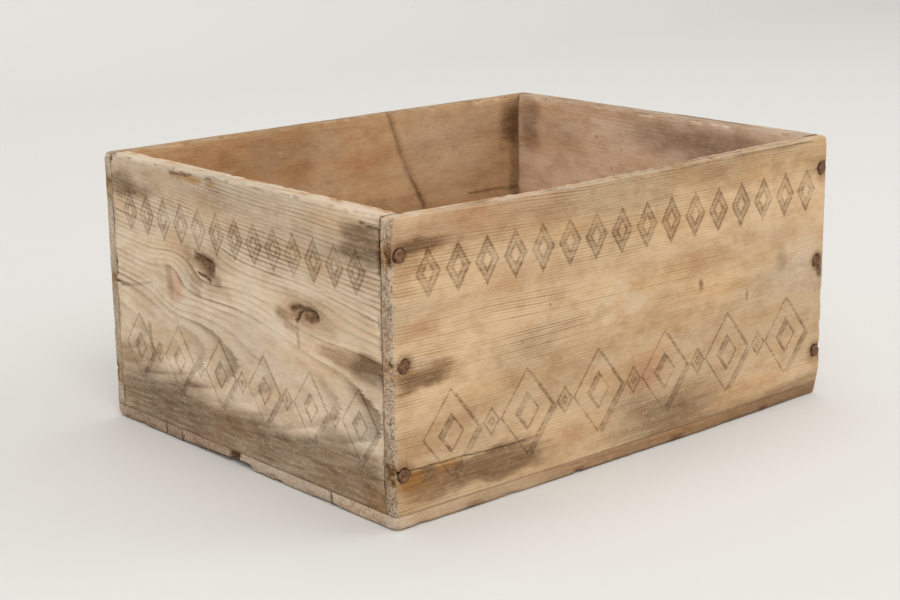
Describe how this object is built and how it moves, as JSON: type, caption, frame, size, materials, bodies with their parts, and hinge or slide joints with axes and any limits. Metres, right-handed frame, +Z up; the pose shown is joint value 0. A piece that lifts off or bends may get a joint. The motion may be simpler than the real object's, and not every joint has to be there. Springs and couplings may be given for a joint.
{
  "type": "wooden crate",
  "caption": "Open rectangular wooden crate of nailed boards, with thin long sides, thicker ends and a boarded bottom, for carrying and storing goods.",
  "frame": {"origin": "middle of the underside, on the surface that the crate stands on", "axes": "+X along the long sides, +Y from the front side to the back side, +Z up through the open top"},
  "size_m": [0.42, 0.329, 0.2],
  "materials": {
    "side_wood": "weathered bare pine, planed, fine straight grain",
    "end_wood": "weathered bare pine with knots and wide grain, grimy along the foot",
    "bottom_wood": "rough sawn pine, greyed and dirty",
    "rusty_nails": "dark rusted steel wire nails"
  },
  "bodies": {
    "root": {"front_side": "side_wood", "back_side": "side_wood", "left_end": "end_wood", "right_end": "end_wood", "bottom_board_front": "bottom_wood", "bottom_board_middle": "bottom_wood", "bottom_strip": "bottom_wood", "bottom_board_back": "bottom_wood", "nails_front_left": "rusty_nails", "nails_front_right": "rusty_nails", "nails_back_left": "rusty_nails", "nails_back_right": "rusty_nails", "nails_bottom_left": "rusty_nails", "nails_bottom_right": "rusty_nails", "nails_bottom_front": "rusty_nails", "nails_bottom_back": "rusty_nails"}
  },
  "joints": []
}
